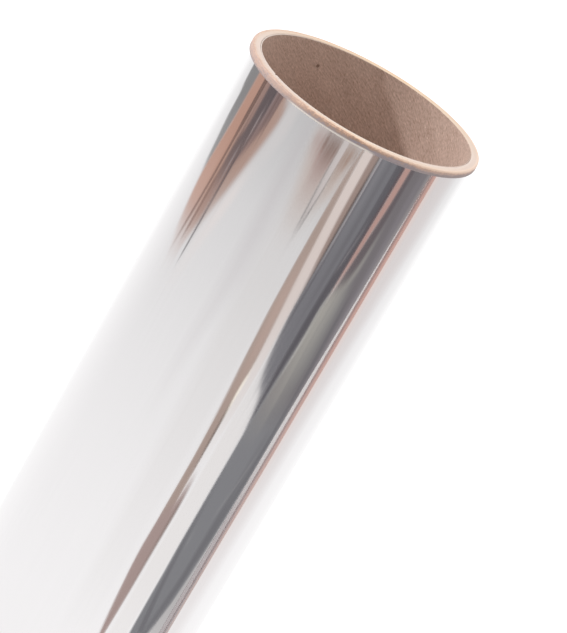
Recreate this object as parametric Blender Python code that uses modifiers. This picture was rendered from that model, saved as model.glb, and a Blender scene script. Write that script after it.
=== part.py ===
"""A wide roll of silver-faced copper foil on a spiral-wound kraft core with two edge rings.

The roll stands on its lower edge ring: +Z is its axis and the origin is the centre of its base.
Lengths are in metres. Angles are in degrees, anticlockwise from +X as seen from above.
"""

import math

import bpy

OBJECT_NAME = "copper_foil_roll"

# Core: three kraft strips, each wound in a helix with its edges butted together
BORE_RADIUS = 0.0381
PLY_THICKNESS = 0.00025
GLUE_LINE = 0.0001
STRIP_PITCH = 0.150
BUTT_GAP = 0.0006
PLY_NAMES = ("core_inner_ply", "core_middle_ply", "core_outer_ply")
PLY_START_ANGLES = (20.0, 140.0, 260.0)
INNER_PLY_RECESS = 0.0001

# Edge rings: a flange round the inner ply that overhangs the foil, with a collar let in under it
RING_OVERHANG = 0.0011
RING_THICKNESS = 0.00245
RING_BORE_ROUND = 0.0002
RING_OUTER_ROUND = 0.0006
RING_INNER_ROUND = 0.0004
COLLAR_LENGTH = 0.012

# Foil web: a sheet with its release liner, wound clockwise from the core to the free end
FOIL_WIDTH = 0.3048
FOIL_END_GAP = 0.0003
FOIL_THICKNESS = 0.00008
LINER_THICKNESS = 0.00008
LINER_TO_FOIL = 0.00006
INNER_WRAPS_THICKNESS = 0.0003
TURN_CLEARANCE = 0.0003
STARTER_WIDTH = 0.019
STARTER_THICKNESS = 0.00008
STARTER_CLEARANCE = 0.00006
STARTER_ANGLE = 150.0

# Free end: the last stretch of the outer turn, which lifts about a line along the roll
FREE_EDGE_ANGLE = -43.0
TAIL_ARC = 45.0
TAIL_OVERLAP_ARC = 10.0
LINER_PROUD = 0.002
HINGE_GAP = 0.0005

# Fineness of the round shapes
TURN_STEPS = 72
ROUND_STEPS = 2
SHARP_ANGLE = math.radians(30.0)

# Sizes that follow from those above
PLY_STEP = PLY_THICKNESS + GLUE_LINE
RING_BORE_RADIUS = BORE_RADIUS + PLY_STEP
COLLAR_INNER_RADIUS = RING_BORE_RADIUS + PLY_STEP
COLLAR_OUTER_RADIUS = COLLAR_INNER_RADIUS + PLY_THICKNESS
WRAPS_INNER_RADIUS = COLLAR_OUTER_RADIUS + GLUE_LINE
WRAPS_OUTER_RADIUS = WRAPS_INNER_RADIUS + INNER_WRAPS_THICKNESS
LINER_START_RADIUS = WRAPS_OUTER_RADIUS + GLUE_LINE + LINER_THICKNESS / 2
FOIL_START_RADIUS = LINER_START_RADIUS + (LINER_THICKNESS + FOIL_THICKNESS) / 2 + LINER_TO_FOIL
TURN_RISE = LINER_THICKNESS + LINER_TO_FOIL + FOIL_THICKNESS + TURN_CLEARANCE
OUTER_TURN_ARC = 360.0 + TAIL_OVERLAP_ARC
OUTER_TURN_START = FREE_EDGE_ANGLE + OUTER_TURN_ARC
HINGE_TURN = OUTER_TURN_ARC - TAIL_ARC
FOIL_OUTER_RADIUS = FOIL_START_RADIUS + TURN_RISE * OUTER_TURN_ARC / 360.0 + FOIL_THICKNESS / 2
RING_RADIUS = FOIL_OUTER_RADIUS + RING_OVERHANG
FOIL_BOTTOM = RING_THICKNESS + FOIL_END_GAP
FOIL_TOP = FOIL_BOTTOM + FOIL_WIDTH
ROLL_LENGTH = FOIL_WIDTH + 2 * FOIL_BOTTOM
ROLL_MIDDLE = ROLL_LENGTH / 2
INNER_PLY_LENGTH = ROLL_LENGTH - 2 * INNER_PLY_RECESS
MIDDLE_PLY_LENGTH = ROLL_LENGTH - 2 * (RING_THICKNESS + GLUE_LINE)
OUTER_PLY_LENGTH = MIDDLE_PLY_LENGTH - 2 * COLLAR_LENGTH
PLY_LENGTHS = (INNER_PLY_LENGTH, MIDDLE_PLY_LENGTH, OUTER_PLY_LENGTH)


def clear_scene():
    """Removes what a new scene holds, so that only the roll is in it."""
    for found in list(bpy.data.objects):
        bpy.data.objects.remove(found)


def new_collection(name):
    collection = bpy.data.collections.new(name)
    bpy.context.scene.collection.children.link(collection)
    return collection


def new_material(name, colour, roughness, metallic):
    material = bpy.data.materials.new(name)
    material.use_nodes = True
    shader = material.node_tree.nodes["Principled BSDF"]
    shader.inputs["Base Color"].default_value = (*colour, 1.0)
    shader.inputs["Roughness"].default_value = roughness
    shader.inputs["Metallic"].default_value = metallic
    return material


def add_object(name, data, collection, material=None):
    """Puts a mesh or a curve in the scene as one named piece."""
    added = bpy.data.objects.new(name, data)
    collection.objects.link(added)
    if material is not None:
        data.materials.append(material)
    return added


def as_smooth_mesh(piece):
    """Applies a piece's modifiers, and shades its round faces smooth and its corners sharp."""
    bpy.context.view_layer.update()
    graph = bpy.context.evaluated_depsgraph_get()
    mesh = bpy.data.meshes.new_from_object(piece.evaluated_get(graph))
    mesh.shade_smooth()
    mesh.set_sharp_from_angle(angle=SHARP_ANGLE)
    name, place, collection = piece.name, piece.matrix_world.copy(), piece.users_collection[0]
    bpy.data.objects.remove(piece)
    solid = add_object(name, mesh, collection)
    solid.matrix_world = place
    return solid


def as_cutter(piece):
    """Marks a closed mesh as a tool that cuts other pieces and isn't one itself."""
    piece.display_type = "WIRE"
    piece.hide_render = True
    return piece


def cut_with(piece, cutter, operation):
    boolean = piece.modifiers.new(operation.title(), "BOOLEAN")
    boolean.operation = operation
    boolean.object = cutter


def polar(angle, radius):
    """The (x, y) place at this angle and radius."""
    return radius * math.cos(math.radians(angle)), radius * math.sin(math.radians(angle))


def turned_profile(name, points, collection, material, steps=TURN_STEPS, pitch=0.0):
    """Turns (radius, height) points about Z: a closed ring or, with a pitch, an open helix."""
    is_helix = pitch > 0.0
    edges = [(index, index + 1) for index in range(len(points) - 1)]
    if not is_helix:
        edges.append((len(points) - 1, 0))
    mesh = bpy.data.meshes.new(name)
    mesh.from_pydata([(radius, 0.0, height) for radius, height in points], edges, [])
    piece = add_object(name, mesh, collection, material)
    screw = piece.modifiers.new("Turn", "SCREW")
    screw.axis = "Z"
    screw.angle = math.tau * steps / TURN_STEPS
    screw.screw_offset = pitch * steps / TURN_STEPS
    screw.steps = screw.render_steps = steps
    screw.use_merge_vertices = not is_helix
    screw.merge_threshold = 0.00001
    screw.use_normal_calculate = True
    return piece


def make_core_ply(name, radius, length, start_angle, collection, cutters, material):
    """One kraft strip wound in a helix, with butted edges and its ends cut square."""
    steps = math.ceil(TURN_STEPS * (length + 2 * STRIP_PITCH) / STRIP_PITCH)
    strip_height = STRIP_PITCH - BUTT_GAP
    strip_bottom = ROLL_MIDDLE - (strip_height + STRIP_PITCH * steps / TURN_STEPS) / 2
    edge = [(radius, strip_bottom + strip_height), (radius, strip_bottom)]
    ply = turned_profile(name, edge, collection, material, steps, STRIP_PITCH)
    ply.rotation_euler.z = math.radians(start_angle)
    wall = ply.modifiers.new("Wall", "SOLIDIFY")
    wall.thickness = PLY_THICKNESS
    wall.offset = 1.0
    bpy.ops.mesh.primitive_cylinder_add(radius=RING_RADIUS, depth=length, location=(0.0, 0.0, ROLL_MIDDLE))
    trim = bpy.context.object
    trim.name = name + "_trim"
    trim.users_collection[0].objects.unlink(trim)
    cutters.objects.link(trim)
    cut_with(ply, as_cutter(trim), "INTERSECT")
    return ply


def quarter_round(centre_radius, centre_height, size, start_angle):
    """The points of a profile's rounded corner, clockwise from start_angle."""
    points = []
    for step in range(ROUND_STEPS + 1):
        across, up = polar(start_angle - 90.0 * step / ROUND_STEPS, size)
        points.append((centre_radius + across, centre_height + up))
    return points


def make_edge_ring(name, collection, material):
    """A turned ring: its flange is the end of the roll and its collar goes in under the foil."""
    collar_end = RING_THICKNESS + COLLAR_LENGTH - GLUE_LINE
    upper_round = RING_RADIUS - RING_INNER_ROUND, RING_THICKNESS - RING_INNER_ROUND
    lower_round = RING_RADIUS - RING_OUTER_ROUND, RING_OUTER_ROUND
    bore_round = RING_BORE_RADIUS + RING_BORE_ROUND, RING_BORE_ROUND
    outline = [
        (RING_BORE_RADIUS, RING_THICKNESS),
        (COLLAR_INNER_RADIUS, RING_THICKNESS),
        (COLLAR_INNER_RADIUS, collar_end),
        (COLLAR_OUTER_RADIUS, collar_end),
        (COLLAR_OUTER_RADIUS, RING_THICKNESS),
        *quarter_round(*upper_round, RING_INNER_ROUND, 90.0),
        *quarter_round(*lower_round, RING_OUTER_ROUND, 0.0),
        *quarter_round(*bore_round, RING_BORE_ROUND, -90.0),
    ]
    return turned_profile(name, outline, collection, material)


def arc_points(radius, middle_angle, length):
    """Evenly spaced points along an arc of this length about its middle."""
    arc = math.degrees(length / radius)
    count = math.ceil(arc * TURN_STEPS / 360.0)
    first = middle_angle - arc / 2
    return [polar(first + arc * step / count, radius) for step in range(count + 1)]


def turn_point(turn, start_radius):
    """The place on a sheet of the outer turn, this many degrees along from its start."""
    return polar(OUTER_TURN_START - turn, start_radius + TURN_RISE * turn / 360.0)


def turn_points(start_radius, first, last):
    """Evenly spaced points along a sheet of the outer turn."""
    count = math.ceil((last - first) * TURN_STEPS / 360.0)
    return [turn_point(first + (last - first) * step / count, start_radius) for step in range(count + 1)]


def make_sheet(name, points, width, thickness, collection, material, pivot=(0.0, 0.0)):
    """A thin sheet that stands on this line of points, with its origin on the pivot."""
    curve = bpy.data.curves.new(name, "CURVE")
    curve.dimensions = "2D"
    curve.extrude = width / 2
    spline = curve.splines.new("POLY")
    spline.points.add(len(points) - 1)
    for target, (x, y) in zip(spline.points, points):
        target.co = (x - pivot[0], y - pivot[1], 0.0, 1.0)
    sheet = add_object(name, curve, collection, material)
    sheet.location = (*pivot, ROLL_MIDDLE)
    wall = sheet.modifiers.new("Wall", "SOLIDIFY")
    wall.thickness = thickness
    wall.offset = 0.0
    return sheet


def make_starter_tape(collection, material):
    """The tape that holds the web's first edge down on the core."""
    line = arc_points(WRAPS_INNER_RADIUS + STARTER_THICKNESS / 2, STARTER_ANGLE, STARTER_WIDTH)
    return make_sheet("starter_tape", line, FOIL_WIDTH, STARTER_THICKNESS, collection, material)


def make_inner_wraps(collection, cutters, material):
    """All the turns under the outer one, as a plain sleeve that beds over the starter tape."""
    outline = [
        (WRAPS_INNER_RADIUS, FOIL_BOTTOM),
        (WRAPS_INNER_RADIUS, FOIL_TOP),
        (WRAPS_OUTER_RADIUS, FOIL_TOP),
        (WRAPS_OUTER_RADIUS, FOIL_BOTTOM),
    ]
    wraps = turned_profile("foil_inner_wraps", outline, collection, material)
    seat_width = STARTER_WIDTH + 2 * STARTER_CLEARANCE
    seat_line = arc_points(WRAPS_INNER_RADIUS, STARTER_ANGLE, seat_width)
    seat_depth = STARTER_THICKNESS + STARTER_CLEARANCE
    seat = make_sheet("starter_seat", seat_line, ROLL_LENGTH, 2 * seat_depth, cutters, None)
    cut_with(wraps, as_cutter(as_smooth_mesh(seat)), "DIFFERENCE")
    return wraps


def least_turn_gap(start_radius, thickness):
    """The least gap between a sheet and itself a turn later, measured on its points."""
    points = turn_points(start_radius, 0.0, OUTER_TURN_ARC)
    half_turn = len(points) // 2
    gaps = [
        math.dist(first, second) - thickness
        for index, first in enumerate(points)
        for second in points[index + half_turn :]
    ]
    return min(gaps)


def make_outer_turn(web, start_radius, thickness, proud, collection, material):
    """The outer turn of the foil or its liner, and the free end that lifts off it."""
    fixed_end = HINGE_TURN - math.degrees(HINGE_GAP / start_radius)
    free_end = OUTER_TURN_ARC + math.degrees(proud / start_radius)
    fixed_line = turn_points(start_radius, 0.0, fixed_end)
    turn = make_sheet(web + "_outer_turn", fixed_line, FOIL_WIDTH, thickness, collection, material)
    hinge = turn_point(HINGE_TURN, start_radius)
    free_line = turn_points(start_radius, HINGE_TURN, free_end)
    tail = make_sheet(web + "_tail", free_line, FOIL_WIDTH, thickness, collection, material, hinge)
    gap = least_turn_gap(start_radius, thickness)
    print(f"{web} hinge at x {hinge[0]:.6f}, y {hinge[1]:.6f}; least gap to itself {gap * 1000:.2f} mm")
    return turn, tail


def build():
    clear_scene()
    parts = new_collection(OBJECT_NAME)
    cutters = new_collection("cutters")
    roll = add_object("roll", None, parts)

    kraft = new_material("kraft_ply", (0.42, 0.29, 0.20), 0.9, 0.0)
    copper = new_material("copper_ring", (0.83, 0.57, 0.42), 0.5, 0.3)
    silver = new_material("silver_foil", (0.85, 0.85, 0.86), 0.12, 1.0)
    paper = new_material("liner_paper", (0.88, 0.86, 0.82), 0.7, 0.0)
    tape = new_material("starter_tape", (0.80, 0.74, 0.58), 0.5, 0.0)

    pieces = []
    for number, (name, length, angle) in enumerate(zip(PLY_NAMES, PLY_LENGTHS, PLY_START_ANGLES)):
        radius = BORE_RADIUS + number * PLY_STEP
        pieces.append(make_core_ply(name, radius, length, angle, parts, cutters, kraft))

    pieces.append(make_edge_ring("bottom_edge_ring", parts, copper))
    top_ring = make_edge_ring("top_edge_ring", parts, copper)
    top_ring.location.z = ROLL_LENGTH
    top_ring.rotation_euler.x = math.pi
    pieces.append(top_ring)

    pieces.append(make_starter_tape(parts, tape))
    pieces.append(make_inner_wraps(parts, cutters, silver))
    pieces.extend(make_outer_turn("liner", LINER_START_RADIUS, LINER_THICKNESS, LINER_PROUD, parts, paper))
    pieces.extend(make_outer_turn("foil", FOIL_START_RADIUS, FOIL_THICKNESS, 0.0, parts, silver))

    for piece in pieces:
        as_smooth_mesh(piece).parent = roll


build()
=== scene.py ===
# %% [markdown]
# # A wide roll of silver-faced copper foil
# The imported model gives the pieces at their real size. This lesson dresses them: the foil gets its
# ripples and its bright face, the core its kraft fibres and the edge rings their satin copper tone.
# We load the model first, because every later size and place comes from it.

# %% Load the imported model
import math

import bpy
import numpy as np
from mathutils import Matrix, Vector, noise


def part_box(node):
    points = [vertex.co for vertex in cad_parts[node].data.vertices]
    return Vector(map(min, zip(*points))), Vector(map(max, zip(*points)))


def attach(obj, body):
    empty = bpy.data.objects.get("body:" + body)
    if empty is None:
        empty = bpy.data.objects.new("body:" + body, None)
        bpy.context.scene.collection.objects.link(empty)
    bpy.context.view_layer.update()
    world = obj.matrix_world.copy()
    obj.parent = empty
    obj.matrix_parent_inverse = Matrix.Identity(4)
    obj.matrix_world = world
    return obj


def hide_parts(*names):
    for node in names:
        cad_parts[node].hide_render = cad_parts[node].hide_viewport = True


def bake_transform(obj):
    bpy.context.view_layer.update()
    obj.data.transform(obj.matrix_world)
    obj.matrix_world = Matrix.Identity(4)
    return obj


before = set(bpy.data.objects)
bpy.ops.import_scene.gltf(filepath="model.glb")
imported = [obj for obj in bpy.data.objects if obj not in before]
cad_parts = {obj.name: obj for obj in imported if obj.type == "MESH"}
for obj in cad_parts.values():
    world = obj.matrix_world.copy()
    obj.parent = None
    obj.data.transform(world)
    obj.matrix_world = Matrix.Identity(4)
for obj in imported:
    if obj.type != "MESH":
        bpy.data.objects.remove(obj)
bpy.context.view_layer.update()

# %% [markdown]
# ## Sizes
# The boxes of the nodes give the roll's height, the rings' radius and the foil's width. The radii of
# the thin layers can't be read from a box, so they are written here in millimetres, as on a drawing.
# Angles run counter-clockwise from +X, seen from above, and the foil is wound the other way.

# %% Sizes from the frame
MM = 0.001
ring_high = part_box("top_edge_ring")[1]
foil_low, foil_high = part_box("foil_tail")
ROLL_TOP = ring_high.z
RING_RADIUS = ring_high.x
FOIL_BOTTOM, FOIL_TOP = foil_low.z, foil_high.z
FOIL_WIDTH = FOIL_TOP - FOIL_BOTTOM

BORE_RADIUS = 38.1 * MM
PLY_THICKNESS = 0.25 * MM
RING_BORE_RADIUS = 38.45 * MM
RING_THICKNESS = 2.45 * MM
COLLAR_INNER_RADIUS = 38.8 * MM
COLLAR_OUTER_RADIUS = 39.05 * MM
COLLAR_LENGTH = 11.9 * MM
LINER_START_RADIUS = 39.59 * MM
FOIL_START_RADIUS = 39.73 * MM
FOIL_FACE_RADIUS = 40.1 * MM
DRAWN_RADIUS = 40.15 * MM
TURN_RISE = 0.52 * MM
SHEET_THICKNESS = 0.08 * MM

FREE_EDGE_ANGLE = -43.0
TAIL_ARC = 45.0
OUTER_TURN_ARC = 370.0
HINGE_TURN = OUTER_TURN_ARC - TAIL_ARC
HINGE_LEAD = 8.0
END_START = HINGE_TURN - HINGE_LEAD
TURN_START_ANGLE = FREE_EDGE_ANGLE + OUTER_TURN_ARC


def polar(angle, radius, height):
    """A point at this angle round the axis, in degrees, this far from the axis and this high."""
    turn = math.radians(angle)
    return Vector((radius * math.cos(turn), radius * math.sin(turn), height))


print(f"roll {ROLL_TOP / MM:.1f} mm tall, foil {FOIL_WIDTH / MM:.1f} mm wide")

# %% [markdown]
# ## Camera
# The photograph looks down on the rim from the front with a long lens, and the camera is rolled so that
# the roll leans to the right. The camera is aimed at a point on the roll, then turned about its own axis.

# %% Camera
CAMERA_PLACE = Vector((0.0, -0.974, 0.6046))
CAMERA_AIM = Vector((0.0117, 0.0, 0.2312))
CAMERA_ROLL = 30.0
CAMERA_LENS_MM = 179.66
SENSOR_MM = 36.0

camera_data = bpy.data.cameras.new("photo_camera")
camera_data.lens = CAMERA_LENS_MM
camera_data.sensor_width = SENSOR_MM
camera = bpy.data.objects.new("photo_camera", camera_data)
bpy.context.scene.collection.objects.link(camera)
look = (CAMERA_AIM - CAMERA_PLACE).to_track_quat("-Z", "Y").to_matrix()
turned = look @ Matrix.Rotation(math.radians(CAMERA_ROLL), 3, "Z")
camera.matrix_world = Matrix.Translation(CAMERA_PLACE) @ turned.to_4x4()
bpy.context.scene.camera = camera
bpy.context.scene.view_settings.view_transform = "Standard"
print("camera at", tuple(round(value, 3) for value in CAMERA_PLACE))

# %% [markdown]
# ## Node helpers
# A material is a small graph. These helpers add a node, set its plain values and join two sockets, so
# that each material below reads as a short list of steps.

# %% Node helpers
def add_node(tree, kind, **values):
    """Adds a node. A value whose name is a socket is set on it, and any other is a setting of the node."""
    node = tree.nodes.new(kind)
    for name, value in values.items():
        socket = name.replace("_", " ")
        if socket in node.inputs:
            node.inputs[socket].default_value = value
        else:
            setattr(node, name, value)
    return node


def join(tree, source, target):
    tree.links.new(source, target)


def set_or_join(tree, value, socket):
    """Joins a socket to an input, or sets a number or a colour on it."""
    if isinstance(value, bpy.types.NodeSocket):
        join(tree, value, socket)
    elif isinstance(value, (int, float)):
        socket.default_value = value
    else:
        socket.default_value = (*value, 1.0)


def ramp(tree, source, stops):
    """A colour ramp from (position, colour) stops. A plain number is a grey."""
    node = tree.nodes.new("ShaderNodeValToRGB")
    elements = node.color_ramp.elements
    while len(elements) < len(stops):
        elements.new(0.5)
    for element, (position, colour) in zip(elements, stops):
        element.position = position
        element.color = (colour,) * 3 + (1.0,) if isinstance(colour, float) else (*colour, 1.0)
    join(tree, source, node.inputs["Fac"])
    return node.outputs["Color"]


def mixed(tree, factor, first, second, mode="MIX"):
    """Mixes two colours. Each may be a socket or a plain colour, and the factor a socket or a number."""
    node = tree.nodes.new("ShaderNodeMix")
    node.data_type = "RGBA"
    node.blend_type = mode
    set_or_join(tree, factor, node.inputs[0])
    set_or_join(tree, first, node.inputs[6])
    set_or_join(tree, second, node.inputs[7])
    return node.outputs[2]


def arithmetic(tree, operation, first, second=0.0, third=0.0, clamp=False):
    node = tree.nodes.new("ShaderNodeMath")
    node.operation = operation
    node.use_clamp = clamp
    for socket, value in zip(node.inputs, (first, second, third)):
        set_or_join(tree, value, socket)
    return node.outputs[0]


def joined_node(tree, kind, *sources):
    """Adds a node, joins the sources to its inputs in order, and gives its outputs."""
    node = tree.nodes.new(kind)
    for socket, source in zip(node.inputs, sources):
        join(tree, source, socket)
    return node.outputs


def coordinates(tree, kind):
    return tree.nodes.new("ShaderNodeTexCoord").outputs[kind]


def split(tree, place):
    """The X, Y and Z of a place."""
    return tuple(joined_node(tree, "ShaderNodeSeparateXYZ", place))


def new_material(name, roughness, metallic):
    """A material with its Principled shader, whose even values are set on its own sockets."""
    material = bpy.data.materials.new(name)
    material.use_nodes = True
    shader = material.node_tree.nodes["Principled BSDF"]
    shader.inputs["Roughness"].default_value = roughness
    shader.inputs["Metallic"].default_value = metallic
    return material, material.node_tree, shader


def paint(tree, shader, colour, roughness=None):
    """Joins a material's colour to its shader, and its roughness where that varies."""
    join(tree, colour, shader.inputs["Base Color"])
    if roughness is not None:
        join(tree, roughness, shader.inputs["Roughness"])


def stage_material(name):
    """A material for the stage, with nothing in it but its output, and the socket for its surface."""
    material = bpy.data.materials.new(name)
    material.use_nodes = True
    material.node_tree.nodes.clear()
    output = add_node(material.node_tree, "ShaderNodeOutputMaterial")
    return material, material.node_tree, output.inputs["Surface"]


# %% [markdown]
# ## Floor
# A polished foil shows little of its own: it shows the table round it. The floor is a plain pale sheet that
# keeps the roll's shadow. In a reflection it is bright close to the roll, greyer far out in front, and white
# towards the back.

# %% Floor
FLOOR_SIDE = 12.0
FLOOR_ALBEDO = 0.8
FLOOR_LIFT = 0.3
WHITE = (1.0, 1.0, 1.0)
FRONT_BRIGHTNESS = [(0.25, 0.925), (0.40, 0.875), (0.50, 0.83), (0.60, 0.78), (0.70, 0.72), (0.80, 0.67)]
FAR_BRIGHTNESS = [(0.88, 0.60), (0.96, 0.54), (1.0, 0.52)]
BACK_WHITENING = [(0.0, 0.06), (0.30, 0.22), (0.60, 0.52), (0.78, 0.70), (0.92, 1.0)]

bpy.ops.object.select_all(action="DESELECT")
bpy.ops.mesh.primitive_plane_add(size=FLOOR_SIDE)
floor = bpy.context.object
floor.name = "floor"

floor_material, tree, surface = stage_material("pale_floor")
paths = add_node(tree, "ShaderNodeLightPath").outputs
matte = add_node(tree, "ShaderNodeBsdfDiffuse", Color=(FLOOR_ALBEDO,) * 3 + (1.0,)).outputs[0]
lift = add_node(tree, "ShaderNodeEmission", Strength=FLOOR_LIFT).outputs[0]
raised = joined_node(tree, "ShaderNodeAddShader", matte, lift)[0]
to_camera = joined_node(tree, "ShaderNodeMixShader", paths["Is Camera Ray"], matte, raised)[0]

place = coordinates(tree, "Object")
reach = add_node(tree, "ShaderNodeVectorMath", operation="LENGTH")
join(tree, place, reach.inputs[0])
in_front = ramp(tree, reach.outputs["Value"], FRONT_BRIGHTNESS + FAR_BRIGHTNESS)
backward = arithmetic(tree, "DIVIDE", split(tree, place)[1], reach.outputs["Value"])
shown = mixed(tree, ramp(tree, backward, BACK_WHITENING), in_front, WHITE)
reflected = add_node(tree, "ShaderNodeEmission", Strength=1.0)
join(tree, shown, reflected.inputs["Color"])
to_glossy = (paths["Is Glossy Ray"], to_camera, reflected.outputs[0])
join(tree, joined_node(tree, "ShaderNodeMixShader", *to_glossy)[0], surface)
floor.data.materials.append(floor_material)
print("floor", FLOOR_SIDE, "m wide")

# %% [markdown]
# ## Light
# The soft light is strongest from above and behind, as from a large window at the back of a studio, so what
# faces the camera is a little darker than what faces up. A small lamp low on the left reaches into the bore
# and lights its right half.

# %% World and lamp
SKY_LEVEL = 0.68
SKY_SLOPE = 0.36
SKY_LEAN = (0.0, 0.6, 0.8)
LAMP_STRENGTH = 1.5
LAMP_COLOUR = (0.97, 1.0, 1.04)
LAMP_ELEVATION = math.radians(24.0)
LAMP_AZIMUTH = 183.0
LAMP_WIDTH = 4.5

world = bpy.data.worlds.new("studio")
bpy.context.scene.world = world
world.use_nodes = True
tree = world.node_tree
paths = add_node(tree, "ShaderNodeLightPath").outputs
leaning = add_node(tree, "ShaderNodeVectorMath", operation="DOT_PRODUCT")
leaning.inputs[1].default_value = SKY_LEAN
join(tree, coordinates(tree, "Generated"), leaning.inputs[0])
soft_light = arithmetic(tree, "MULTIPLY_ADD", leaning.outputs["Value"], SKY_SLOPE, SKY_LEVEL)
seen = arithmetic(tree, "MAXIMUM", paths["Is Camera Ray"], paths["Is Glossy Ray"])
to_white = arithmetic(tree, "SUBTRACT", 1.0, soft_light)
background = tree.nodes["Background"].inputs
background["Color"].default_value = (*WHITE, 1.0)
join(tree, arithmetic(tree, "MULTIPLY_ADD", seen, to_white, soft_light), background["Strength"])

lamp_data = bpy.data.lights.new("low_left_lamp", "SUN")
lamp_data.energy = LAMP_STRENGTH
lamp_data.color = LAMP_COLOUR
lamp_data.angle = math.radians(LAMP_WIDTH)
lamp = bpy.data.objects.new("low_left_lamp", lamp_data)
bpy.context.scene.collection.objects.link(lamp)
towards_lamp = polar(LAMP_AZIMUTH, math.cos(LAMP_ELEVATION), math.sin(LAMP_ELEVATION))
lamp.rotation_mode = "QUATERNION"
lamp.rotation_quaternion = (-towards_lamp).to_track_quat("-Z", "Y")
print("lamp towards", tuple(round(value, 2) for value in towards_lamp))

# %% [markdown]
# ## Cards on the table
# The streaks on the foil in the photograph are reflections of dark and copper-coloured things beside the
# roll. Photographers make them with cards. Each card is cut so that its reflection falls where we want it:
# we follow the camera's line of sight to the foil, mirror it there, and see where it meets the table. Only
# reflections see the cards. The foil is wound, so its radius and the lean of its face go into the mirroring.

# %% Where a reflection comes from
def mirrored_on_table(side_angle, depth, height):
    """The place on a level plane that the foil mirrors at this angle from the front and this depth."""
    turn = (TURN_START_ANGLE + 90.0 - side_angle) % 360.0
    radius = FOIL_START_RADIUS + SHEET_THICKNESS / 2 + TURN_RISE * turn / 360.0
    aside = math.asin(math.sin(math.radians(side_angle)) * DRAWN_RADIUS / radius)
    lean = aside + TURN_RISE / (math.tau * radius)
    spot = Vector((radius * math.sin(aside), -radius * math.cos(aside), ROLL_TOP - depth))
    outward = Vector((math.sin(lean), -math.cos(lean), 0.0))
    sight = (spot - CAMERA_PLACE).normalized()
    mirrored = sight - 2.0 * sight.dot(outward) * outward
    travel = (height - spot.z) / mirrored.z
    return spot + mirrored * travel


card_material, tree, surface = stage_material("table_card")
tint = add_node(tree, "ShaderNodeAttribute", attribute_name="card_tint").outputs
clear = add_node(tree, "ShaderNodeBsdfTransparent").outputs[0]
glow = add_node(tree, "ShaderNodeEmission", Strength=1.0)
join(tree, tint["Color"], glow.inputs["Color"])
join(tree, joined_node(tree, "ShaderNodeMixShader", tint["Alpha"], clear, glow.outputs[0])[0], surface)
print("card material ready")

# %% [markdown]
# A card is a grid. Its rows go down the roll and its columns go round it, and the two outer columns fade out
# so that the edge is soft. A card that starts above the rim also fades out far from the roll. Each stop gives
# a depth in millimetres, the left and right angle from the front, and the cover, which is full if left out.

# %% Laying a card
CARD_STEP = 0.2 * MM
CARD_ROWS = 72
CARD_COLUMNS = 9
FAR_FADE_DEPTH = -50
cards = []


def flat_sheet(name, columns, rows, *materials):
    """A flat unit grid: X is the share along it and Y the share across it, both from minus to plus a half."""
    bpy.ops.object.select_all(action="DESELECT")
    bpy.ops.mesh.primitive_grid_add(x_subdivisions=columns, y_subdivisions=rows, size=1.0)
    sheet = bpy.context.object
    sheet.name = name
    for material in materials:
        sheet.data.materials.append(material)
    return sheet


def table_card(name, tone, soft, stops):
    """Lays a card whose reflection has this tone, this soft edge in degrees and these stops."""
    height = CARD_STEP * (len(cards) + 1)
    stops = [(*stop, 1.0)[:4] for stop in stops]
    if stops[0][0] < 0:
        stops.insert(0, (FAR_FADE_DEPTH, *stops[0][1:3], 0.0))
    depths, lefts, rights, covers = (np.array(column, float) for column in zip(*stops))
    card = flat_sheet(name, CARD_COLUMNS, CARD_ROWS, card_material)
    tints = card.data.attributes.new("card_tint", "FLOAT_COLOR", "POINT")
    for vertex in card.data.vertices:
        column = round((vertex.co.x + 0.5) * CARD_COLUMNS)
        depth = depths[0] + (depths[-1] - depths[0]) * (vertex.co.y + 0.5)
        left, right, full = (np.interp(depth, depths, values) for values in (lefts, rights, covers))
        margin = min(soft, (right - left) / 2)
        inner = (column - 1) / (CARD_COLUMNS - 2)
        angle = left + margin + (right - left - 2 * margin) * inner
        if column == 0:
            angle = left - soft
        elif column == CARD_COLUMNS:
            angle = right + soft
        is_edge = column in (0, CARD_COLUMNS)
        tints.data[vertex.index].color = (*tone, 0.0 if is_edge else full)
        vertex.co = mirrored_on_table(angle, depth * MM, height)
    for rays in ("camera", "diffuse", "shadow", "transmission"):
        setattr(card, f"visible_{rays}", False)
    cards.append(card)


def lay_cards(what, *entries):
    """Lays several cards, each given as a name, a tone, the width of its soft edge and its stops."""
    for name, tone, soft, *stops in entries:
        table_card(f"{name}_card", tone, soft, stops)
    print(len(cards), "cards on the table, with", what)


# %% [markdown]
# On the left a copper-coloured shield hangs down from the rim, with dark streaks through it. Broad cards go
# down first, and the fine lines on top of them.

# %% Broad cards on the left
SLATE = (0.26, 0.255, 0.255)
COPPER = (0.49, 0.30, 0.235)
LIGHT_COPPER = (0.60, 0.40, 0.33)
TAN_COPPER = (0.43, 0.295, 0.245)
UMBER = (0.32, 0.215, 0.19)
PLUM_BROWN = (0.215, 0.155, 0.15)
PLUM = (0.135, 0.110, 0.113)
LEFT_GLOW = (0.80, 0.745, 0.72)

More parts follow.
